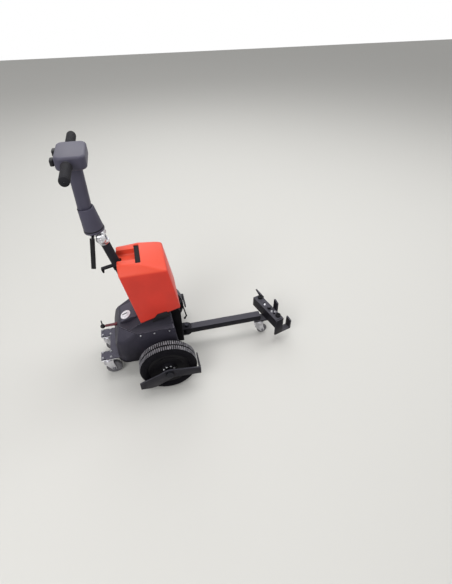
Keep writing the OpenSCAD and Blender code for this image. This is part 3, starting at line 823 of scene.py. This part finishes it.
def hex_bolt(across: float, height: float, washer: float = 0.0) -> Piece:
    """Models a hexagon head or nut that stands on the origin.

    Args:
        across: its size across corners, in millimetres as below.
        height: its height.
        washer: the diameter of the washer under it, 0 for none.

    Returns:
        The head, joined with its washer.
    """
    thick = 1.2 if washer else 0.0
    head = prism(6, across, height, thick, across * 0.07)
    return join([head, prism(20, washer, thick, 0.0, 0.35)]) if washer else head


def button_screw(diameter: float, height: float) -> Piece:
    """Models a round-headed screw with a socket, standing on the origin and pointing up.

    Args:
        diameter: the head's diameter, in millimetres.
        height: its height.

    Returns:
        The head.
    """
    head = prism(16, diameter, height, 0.0, height * 0.55, 2)
    choose(head, lambda middle, normal: normal.z > 0.99 and middle.z > height * 0.9 * MM)
    bpy.ops.mesh.inset(thickness=diameter * 0.16 * MM, depth=0.0)
    bpy.ops.mesh.inset(thickness=0.05 * MM, depth=-height * 0.4 * MM)
    bpy.ops.object.mode_set(mode="OBJECT")
    return head


def turned(point: Vector, degrees: float, axis: str = "Y") -> Matrix:
    """The place at a point, turned by some degrees round an axis."""
    return Matrix.Translation(point) @ Matrix.Rotation(math.radians(degrees), 4, axis)


def stand(point: Vector, axis: Axis, spin: float = 0.0) -> Matrix:
    """The place of a fastener that stands on a point, points along an axis and is turned by spin degrees."""
    return Matrix.Translation(point) @ axis.turn @ Matrix.Rotation(math.radians(spin), 4, "Z")


# ---------------------------------------------------------------- sub-assemblies


@dataclass
class DriveWheel:
    """One drive wheel: treaded tyre, closed motor disc and its ring of nuts."""

    side: Side
    lugs: int = 84
    rows: tuple[float, ...] = (-14.5, 14.5)
    groove: float = 5.0
    lug_long: float = 6.6
    lug_wide: float = 23.0
    lug_root: float = 1.0  # how deep a lug sits in the carcass
    lug_short: float = 0.15  # how far its top stays inside the CAD tyre
    lug_taper: Triple = (0.8, 0.88, 1.0)
    wall: Profile = ((0.714, 12.0), (0.8, 1.5), (0.89, 0.0))  # share of the tyre's radius, inset from side
    shoulder: Profile = ((4.0, 5.0), (0.0, 13.0))  # depth below the groove's floor, inset from its side
    nuts: int = 8
    nut_circle: float = 25.0
    nut: Pair = (10.5, 5.5)  # across, height
    nut_turn: float = 17.0

    def build(self) -> None:
        """Builds the tyre and the nuts of one wheel and dresses its disc."""
        self.tyre()
        self.disc_nuts()
        plain(HUB_PAINT, self.side.word + "_hub")

    def tyre(self) -> None:
        """Turns the carcass and sets two rows of block lugs round it."""
        node = self.side.word + "_tyre"
        low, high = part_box(node)
        middle = (low + high) / 2
        r = (high.x - low.x) / 2 / MM
        w = (high.y - low.y) / 2 / MM
        base = r - self.groove
        half = [(r * share, inset) for share, inset in self.wall]
        half += [(base - depth, inset) for depth, inset in self.shoulder]
        outline = [(radius, inset - w) for radius, inset in half]
        outline += [(radius, w - inset) for radius, inset in reversed(half)]
        carcass = revolve(outline, middle, Axis.LEFT, 44)
        lug = block(Vector(), (self.lug_long, self.lug_wide, self.groove + self.lug_root))
        choose(lug, looks_up)
        bpy.ops.transform.resize(value=self.lug_taper)
        bpy.ops.object.mode_set(mode="OBJECT")
        rise = (r - (self.groove + self.lug_root) / 2 - self.lug_short) * MM
        places = []
        for row, across in enumerate(self.rows):
            for i in range(self.lugs):
                turn = math.tau * (i + 0.5 * row) / self.lugs
                places.append(Matrix.Translation(middle) @ Matrix.Rotation(turn, 4, "Y")
                              @ Matrix.Translation((0, across * MM, rise)))
        tread = copies(lug, places)
        place_piece(join([carcass, tread]), self.side.word + "_tread_tyre", self.side.word + "_wheel",
                    replace(TYRE, axle=(middle.x, middle.z)), [node])

    def disc_nuts(self) -> None:
        """Sets the ring of bright nuts on the boss of the motor disc."""
        hub = self.side.word + "_hub"
        middle = centre(hub)
        middle.y = self.side.face(hub)
        places = []
        for i in range(self.nuts):
            turn = math.tau * (i + 0.5) / self.nuts
            offset = Vector((math.sin(turn), 0, math.cos(turn))) * self.nut_circle * MM
            places.append(stand(middle + offset, self.side.out, self.nut_turn * i))
        ring = copies(hex_bolt(*self.nut), places)
        place_piece(ring, self.side.word + "_disc_nuts", self.side.word + "_wheel", ZINC)


@dataclass
class BatteryCase:
    """The lift-out battery case: one moulding with a sloped front top, side facets, slot and pocket."""

    half: float = 109.0
    low_rear: Pair = (-90.0, 326.0)
    low_front: Pair = (95.0, 385.0)
    shoulder_front: Pair = (58.0, 605.0)
    shoulder_rear: Pair = (-137.0, 605.0)
    crest_front: Pair = (-44.0, 634.6)
    crest_rear: Pair = (-139.0, 634.6)
    crest_half_front: float = 84.0
    crest_half_rear: float = 66.0
    slot_x: Pair = (-64.0, -42.0)
    slot_half: float = 66.0
    slot_corner: float = 5.0
    pocket_half: float = 38.0
    pocket_corner: float = 9.0
    pocket_lap: float = 4.0  # how far the pocket runs into the slot
    floor_z: float = 607.0
    channel_half: float = 23.0
    channel_deep: float = 90.0
    channel_corner: float = 5.0
    over: float = 20.0  # how far the cutting tools reach past the case
    mast_x: float = -174.0
    mast_z: float = 742.0
    mast_lean: float = 12.6
    edge: float = 8.0
    lip: float = 1.6
    strap_room: Triple = (0.6, 0.6, 3.4)  # how much smaller it is than the CAD strap
    strap_arch: float = 1.4

    def build(self) -> None:
        """Builds the case and its strap and dresses the block of cells inside."""
        shell = self.moulding()
        self.cut(shell)
        round_edges(shell, self.lip, 2, 50.0)
        smooth(shell, 50.0)
        for face in shell.data.polygons:
            # faces that look down, low on the case, get the dark red: painted shade
            face.material_index = int(face.normal.z < -0.2 and face.center.z < self.low_front[1] * MM)
        place_piece(shell, "battery_case_moulding", "chassis", CASE_RED, ["case_body", "case_top"],
                    UNDERSIDE_SHADE)
        self.strap()
        plain(CELLS, "battery_block")

    def moulding(self) -> Piece:
        """Shapes the plain moulding from a box, its top drawn up into the crest.

        Returns:
            The moulding without its cuts.
        """
        shell = block(Vector(), (1, 1, 1))
        for vertex in shell.data.vertices:
            up, front, left = vertex.co.z > 0, vertex.co.x > 0, math.copysign(1, vertex.co.y)
            corner = ((self.shoulder_front if front else self.shoulder_rear) if up
                      else (self.low_front if front else self.low_rear))
            vertex.co = at(corner[0], left * self.half, corner[1])
        choose(shell, looks_up)
        bpy.ops.mesh.extrude_region_move(TRANSFORM_OT_translate={"value": (0, 0, 10 * MM)})
        bpy.ops.object.mode_set(mode="OBJECT")
        split = (self.shoulder_front[0] + self.shoulder_rear[0]) / 2
        for vertex in shell.data.vertices:
            if vertex.co.z > (self.shoulder_front[1] + 5) * MM:
                front = vertex.co.x > at(split, 0, 0).x
                crest = self.crest_front if front else self.crest_rear
                half = self.crest_half_front if front else self.crest_half_rear
                vertex.co = at(crest[0], math.copysign(half, vertex.co.y), crest[1])
        outward(shell)
        round_edges(shell, self.edge, 3, 8.0)
        return shell

    def cut(self, shell: Piece) -> None:
        """Cuts the strap's slot, the finger pocket and the mast's channel, with rounded inner corners.

        Args:
            shell: the moulding.
        """
        top = self.crest_front[1] + self.over
        pocket = (self.crest_rear[0] - 30, self.slot_x[0] + self.pocket_lap)
        for (x0, x1), half, corner in ((self.slot_x, self.slot_half, self.slot_corner),
                                       (pocket, self.pocket_half, self.pocket_corner)):
            tool = block(at((x0 + x1) / 2, 0, (self.floor_z + top) / 2),
                         (x1 - x0, 2 * half, top - self.floor_z))
            round_edges(tool, corner, 4, 60.0)
            carve(shell, tool)
        half, deep = self.channel_half, self.channel_deep
        tool = block(Vector(((half - deep) / 2, 0, -self.mast_z / 2)) * MM,
                     (deep + half, 2 * half, self.mast_z))
        tool.data.transform(turned(at(self.mast_x, 0, self.mast_z), -self.mast_lean))
        round_edges(tool, self.channel_corner, 3, 60.0)
        carve(shell, tool)

    def strap(self) -> None:
        """Models the webbing strap as a low arch over the slot."""
        low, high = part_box("case_strap")
        strap = block((low + high) / 2, (high - low) / MM - Vector(self.strap_room))
        edit_all(strap)
        bpy.ops.mesh.subdivide(number_cuts=12)
        bpy.ops.object.mode_set(mode="OBJECT")
        half = (high.y - low.y) / 2
        for vertex in strap.data.vertices:
            reach = abs(vertex.co.y) / half
            vertex.co.z += self.strap_arch * MM * math.cos(reach * math.pi / 2)
        round_edges(strap, 0.8, 2)
        smooth(strap, 50.0)
        place_piece(strap, "case_strap_webbing", "chassis", STRAP, ["case_strap"])


@dataclass
class Housing:
    """The tug's covers, column and frame with their fasteners."""

    screw: Pair = (9.0, 2.4)  # diameter, height
    seam_screws: tuple[float, ...] = (-100.0, -38.0, 30.0)
    seam_drop: float = 14.0
    cowl_tilt: float = 22.0
    key_at: Triple = (-155.0, -20.0, 316.6)
    key_disc: Profile = ((0.4, 0.0), (24.6, 0.0), (25.0, 0.8), (25.0, 2.0), (24.0, 2.9), (17.4, 3.0),
                         (16.6, 2.4), (16.0, 3.0), (16.0, 6.8), (14.9, 7.9), (0.4, 7.9))
    key_slot: Triple = (26.0, 6.4, 6.0)
    key_slot_z: float = 7.5
    key_fill: tuple[float, ...] = (0.99, 0.97, 0.72, 1.0)  # the black block that fills the slot almost flush: painted shade of the keyway
    corner_round: float = 11.0
    inside: Triple = (-60.0, 0.0, 200.0)

    def build(self) -> None:
        """Rounds the covers' edges and sets the key switch and the screws."""
        skin("lower_cover", LOWER_PAINT_SHADED, 2.2, 3, shape=self.soften_corners)
        skin("upper_cover", RIM_PAINT_SHADED, 2.2, 3)
        skin("rear_cowl", COVER, 2.4, 3)
        skin("front_plate", FRONT_PAINT, 0.9)
        skin("front_column", FRAME_PAINT, 3.0, 3)
        skin("base_frame", FRAME_PAINT, 1.0)
        skin("carrier_plate", COVER, 1.5)
        skin("guard_arms", ARM_PAINT, 1.2)
        skin("case_catches", BLACK_ABS, 1.0)
        skin("release_lever", LEVER_RED, 1.8, 2)
        plain(DARK_STEEL, "stub_axles")
        plain(BLACK_ABS, "lever_knob")
        plain(FRAME_PAINT, "latch_rod")
        self.key_switch()
        self.screws()

    def soften_corners(self, cover: Piece) -> None:
        """Rounds the edges widely where a rear corner's slanted facet meets the cover's side and rear.

        Args:
            cover: the cover's skin.
        """
        def meets(middle: Vector, first: Vector, second: Vector) -> bool:
            """Tells whether an edge, by its middle and its faces' normals, is one of these.

            Args:
                middle: the edge's middle.
                first: one face's normal.
                second: the other face's normal.

            Returns:
                True for an outer edge between a facet and an upright panel.
            """
            slanted, upright = sorted((first, second), key=lambda normal: -normal.z)
            return (0.3 < slanted.z < 0.95 and abs(slanted.y) > 0.2 and abs(upright.z) < 0.3
                    and upright.dot(middle - at(*self.inside)) > 0)

        round_ridges(cover, self.corner_round, 5, 12.0, 0, meets)

    def key_switch(self) -> None:
        """Turns the enamelled disc with its raised lock barrel, cuts the key's slot and fills it almost flush
        with a black block, painted shade of the keyway.
        """
        disc = revolve(self.key_disc, Vector(), Axis.UP)
        slot = block(Vector((0, 0, self.key_slot_z * MM)), self.key_slot)
        carve(disc, slot, keep=True)
        # the black filling is painted shade of the keyway
        slot.data.transform(Matrix.Translation((0, 0, -0.1 * MM)) @ Matrix.Diagonal(self.key_fill))
        for piece in (disc, slot):
            piece.data.transform(turned(at(*self.key_at), -self.cowl_tilt))
        smooth(disc)
        place_piece(disc, "key_switch_disc", "chassis", DIAL, ["key_switch"])
        place_piece(slot, "key_slot", "chassis", BLACK_ABS)

    def screws(self) -> None:
        """Sets the cover screws under the rim on both sides."""
        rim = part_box("lower_cover")[1].z - self.seam_drop * MM
        places = [stand(Vector((at(x, 0, 0).x, side.face("lower_cover"), rim)), side.out)
                  for side in Side for x in self.seam_screws]
        place_piece(copies(button_screw(*self.screw), places), "cover_screws", "chassis", ZINC)


@dataclass
class Casters:
    """The rear casters and the nose caster with their fasteners."""

    swivel_x: float = -278.0
    track_half: float = 75.0
    bolt_spread: Pair = (19.0, 17.0)
    plate_head: Triple = (10.5, 4.5, 13.0)  # across, height, washer
    axle_head: Triple = (12.0, 4.5, 14.0)
    leg: float = 4.5  # from a wheel's side to the outside of its fork's leg

    def build(self) -> None:
        """Rounds the forks and plates and sets their bolts."""
        for side in Side:
            body = side.word + "_caster"
            skin(body + "_fork", FORK_ZINC, 0.7)
            self.axle_bolt(body + "_fork", body, body + "_wheel")
        skin("nose_fork", FORK_ZINC, 0.7)
        self.axle_bolt("nose_fork", "nose_caster", "nose_wheel")
        skin("caster_plates", ZINC, 0.8)
        self.plate_bolts()
        plain(CASTER, "left_caster_wheel", "right_caster_wheel", "nose_wheel")

    def axle_bolt(self, fork: str, body: str, wheel: str) -> None:
        """Sets the bolt head and nut on a fork's legs, round the wheel's axle.

        Args:
            fork: the fork's node.
            body: the body that it rides on.
            wheel: the node of the wheel between its legs.
        """
        middle = centre(wheel)
        low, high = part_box(wheel)
        deep = (high.y - low.y) / 2 + self.leg * MM
        places = [stand(middle + Vector((0, deep, 0)), Axis.LEFT, 10.0),
                  stand(middle - Vector((0, deep, 0)), Axis.RIGHT, 25.0)]
        place_piece(copies(hex_bolt(*self.axle_head), places), fork + "_axle_bolt", body, STEEL)

    def plate_bolts(self) -> None:
        """Sets four bolt heads on the carrier plate round each swivel."""
        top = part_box("carrier_plate")[1].z / MM
        long, wide = self.bolt_spread
        places = [stand(at(self.swivel_x + dx * long, side * self.track_half + dy * wide, top), Axis.UP, 31.0)
                  for side in (-1, 1) for dx in (-1, 1) for dy in (-1, 1)]
        place_piece(copies(hex_bolt(*self.plate_head), places), "caster_plate_bolts", "chassis", STEEL)


@dataclass
class DrawGear:
    """The clevis, drawbar, coupling bar, hooks and buffers."""

    hitch_yaw: float = 17.0
    king_x: float = 563.0
    buffers_at: tuple[Pair, ...] = ((7.0, 91.0), (7.0, -69.0))
    buffer: Profile = ((4.0, 0.0), (4.0, 7.0), (8.5, 7.4), (9.6, 10.4), (12.0, 10.8), (13.3, 9.2),
                       (13.4, 1.2), (12.8, 0.0))
    bar_top: float = 168.5
    bar_bolts: tuple[Pair, ...] = ((-3.0, 35.0), (-3.0, -27.0), (14.0, -37.0))
    bar_head: Triple = (10.0, 4.0, 12.0)  # across, height, washer
    pin_back: float = 24.0  # from the clevis's front to its pin
    pin_head: Profile = ((0.5, -3.6), (10.5, -3.6), (11.5, -2.4), (11.5, 1.6), (10.0, 3.4), (0.5, 3.4))

    def build(self) -> None:
        """Rounds the bars and sets the pin's head, the buffers and the bolts."""
        skin("clevis", FRAME_PAINT, 1.0)
        skin("drawbar_tube", BAR_PAINT, 2.5, 3)
        skin("coupling_bar", BAR_PAINT, 2.0, 3)
        skin("hook_blades", BAR_PAINT, 1.2)
        self.swing_pin()
        self.buffers()

    def swing_pin(self) -> None:
        """Sets a turned head on the swing pin."""
        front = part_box("clevis")[1]
        head = revolve(self.pin_head, Vector((front.x - self.pin_back * MM, 0, front.z)), Axis.UP, 28)
        place_piece(head, "swing_pin_head", "chassis", DARK_STEEL)

    def buffers(self) -> None:
        """Turns the two rubber pads on the bar's top, each with a sunk middle, and sets the bar's bolts."""
        place = turned(at(self.king_x, 0, self.bar_top), self.hitch_yaw, "Z")
        pads = [revolve(self.buffer, place @ Vector((x * MM, y * MM, 0)), Axis.UP, 28)
                for x, y in self.buffers_at]
        place_piece(join(pads), "rubber_buffers", "coupling", BUFFER, ["bar_buffers"])
        bolts = [stand(place @ Vector((x * MM, y * MM, 0)), Axis.UP, 20.0 * i)
                 for i, (x, y) in enumerate(self.bar_bolts)]
        place_piece(copies(hex_bolt(*self.bar_head), bolts), "bar_bolt_heads", "coupling", ZINC)


@dataclass
class Tiller:
    """The mast fittings, the cranked tiller, its head, grips and paddles."""

    knuckle: Pair = (-174.0, 742.0)
    cap_face: float = 30.0
    cap: Profile = ((0.4, 0.0), (19.0, 0.0), (19.4, 1.6), (17.6, 4.0), (13.5, 5.8), (8.0, 6.8), (6.8, 6.2),
                    (6.2, 6.8), (0.4, 7.4))
    boot_off: float = 15.0
    boot_lean: float = 6.0
    boot_foot: float = 30.0
    boot_half: float = 38.0
    # outlines of the boot's rings: beyond its half width, above its foot
    boot_lip: Profile = ((-3.0, -1.0), (0.2, -1.0), (1.6, 1.0), (1.8, 5.0), (0.6, 7.5), (-3.0, 7.5))
    boot_fold: Profile = ((-3.0, 8.0), (0.7, 8.0), (0.9, 10.0), (0.2, 12.5), (-3.0, 12.5))
    grip_in: float = 90.0
    grip_r: float = 17.0
    grip_bore: float = 11.2
    flange_r: float = 18.5
    ribs: int = 12
    rib_deep: float = 1.3

    def build(self) -> None:
        """Rounds the tiller's pieces and turns the grips, the knuckle's caps and the boot's folds."""
        skin("lower_mast", ARM_PAINT, 1.0)
        skin("mast_bracket", FRAME_PAINT, 1.2)
        skin("knuckle_base", ZINC, 1.2)
        skin("knuckle_clamp", ZINC, 1.2)
        skin("tiller_boot", TILLER_ABS, 2.5, 3, 30.0)
        skin("tiller_arm", TILLER_ABS, 4.0, 3, 50.0)
        skin("tiller_head", TILLER_ABS, 9.0, 4, 50.0)
        skin("thumb_paddles", BLACK_ABS, 4.0, 3)
        skin("clamp_lever", BLACK_ABS, 3.0, 3)
        plain(ZINC, "handlebar")
        self.grips()
        self.domes()
        self.boot_folds()

    def boot_folds(self) -> None:
        """Turns the rolled lip at the boot's foot and above it a black ring, painted shade of the fold."""
        place = (turned(at(self.knuckle[0], 0, self.knuckle[1]), -self.boot_lean)
                 @ Matrix.Translation((-self.boot_off * MM, 0, 0)))
        # the black ring is painted shade where the boot folds above its lip
        for name, finish, form in (("boot_lip", TILLER_ABS, self.boot_lip),
                                   ("boot_fold", BLACK_ABS, self.boot_fold)):
            outline = [(self.boot_half + out, self.boot_foot + up) for out, up in form]
            ring = revolve(outline, Vector(), Axis.UP, 40)
            ring.data.transform(place)
            place_piece(ring, name, "tiller", finish)

    def domes(self) -> None:
        """Turns a bright domed cap on each end of the knuckle's bolt."""
        x, z = self.knuckle
        caps = [revolve(self.cap, at(x, side.value * self.cap_face, z), side.out, 36) for side in Side]
        place_piece(join(caps), "knuckle_caps", "chassis", ZINC)

    def grips(self) -> None:
        """Turns both grips with rings of ribs and a rounded end."""
        middle = centre("grips")
        out, start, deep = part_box("grips")[1].y / MM, self.grip_in, self.grip_r - self.rib_deep
        pitch = (out - start - 14) / self.ribs
        outline = [(self.grip_bore, start), (self.flange_r, start), (self.flange_r, start + 4)]
        for i in range(self.ribs):
            rib = start + 6 + i * pitch
            outline += [(self.grip_r, rib), (self.grip_r, rib + pitch * 0.6), (deep, rib + pitch * 0.72),
                        (deep, rib + pitch * 0.95)]
        outline += [(self.grip_r, out - 7), (16.0, out - 2.5), (12.0, out - 0.3), (1.0, out - 0.3),
                    (1.0, out - 4), (self.grip_bore, out - 4)]
        parts = [revolve(outline, Vector((middle.x, 0, middle.z)), side.out, 32) for side in Side]
        place_piece(join(parts), "ribbed_grips", "tiller", GRIP, ["grips"])


@dataclass
class Studio:
    """Camera, floor, lights and background."""

    camera_mm: Pair = (-1320.0, 1560.0)
    down: float = 48.0
    yaw: float = -14.0
    lens: float = 23.18
    floor: str = "c9c8c4"
    world: float = 0.45
    lamps: tuple[tuple[Triple, float, float], ...] = (  # place in metres, power in watts, size in metres
        ((-2.2, -2.6, 3.0), 84.0, 2.2), ((2.6, 0.8, 3.8), 68.0, 2.6), ((-0.3, 0.4, 4.4), 56.0, 2.2),
        ((0.0, 3.0, 3.0), 35.0, 2.4))

    def build(self) -> None:
        """Builds the whole studio."""
        self.camera()
        self.ground()
        self.lights()
        self.background()
        bpy.context.scene.view_settings.view_transform = "Standard"

    def camera(self) -> None:
        """Sets the camera over the drive axle, looking down and a little forward."""
        data = bpy.data.cameras.new("camera")
        data.sensor_width = 36.0
        data.lens = self.lens
        camera = bpy.data.objects.new("camera", data)
        bpy.context.scene.collection.objects.link(camera)
        camera.location = at(0, *self.camera_mm)
        camera.rotation_euler = (math.radians(self.down), 0, math.radians(self.yaw))
        bpy.context.scene.camera = camera

    def ground(self) -> None:
        """Lays a plain pale floor."""
        deselect()
        bpy.ops.mesh.primitive_plane_add(size=16, location=(0, 0, 0))
        floor = bpy.context.object
        floor.name = "floor"
        material = bpy.data.materials.new("pale_floor")
        material.use_nodes = True
        shader = material.node_tree.nodes["Principled BSDF"]
        shader.inputs["Base Color"].default_value = linear(self.floor)
        shader.inputs["Roughness"].default_value = 0.85
        floor.data.materials.append(material)

    def lights(self) -> None:
        """Hangs soft lamps, each aimed at the tug's middle."""
        for place, power, size in self.lamps:
            deselect()
            bpy.ops.object.light_add(type="AREA", location=place)
            lamp = bpy.context.object
            lamp.data.energy = power
            lamp.data.size = size
            lamp.rotation_euler = (Vector((0, 0, 0.4)) - Vector(place)).to_track_quat("-Z", "Y").to_euler()

    def background(self) -> None:
        """Lights the scene evenly and shows white to the camera, to metal and through glass."""
        world = bpy.data.worlds.new("studio")
        bpy.context.scene.world = world
        world.use_nodes = True
        tree = world.node_tree
        tree.nodes.clear()
        ray = add(tree, "LightPath").outputs
        seen = add(tree, "Math", {0: ray["Is Camera Ray"], 1: ray["Is Glossy Ray"]}, operation="MAXIMUM")
        seen = add(tree, "Math", {0: seen.outputs[0], 1: ray["Is Transmission Ray"]}, operation="MAXIMUM")
        soft = add(tree, "Background", {"Color": (1, 1, 1, 1), "Strength": self.world})
        white = add(tree, "Background", {"Color": (1, 1, 1, 1), "Strength": 1.0})
        both = add(tree, "MixShader", {0: seen.outputs[0], 1: soft.outputs[0], 2: white.outputs[0]})
        add(tree, "OutputWorld", {"Surface": both.outputs[0]})


def main() -> None:
    """Builds each sub-assembly in order."""
    logging.basicConfig(level=logging.INFO, format="%(name)s: %(message)s")
    for part in (DriveWheel(Side.LEFT), DriveWheel(Side.RIGHT), Housing(), BatteryCase(), Casters(),
                 DrawGear(), Tiller(), Studio()):
        part.build()
        LOG.info("%s built", type(part).__name__)


if __name__ == "__main__":
    main()
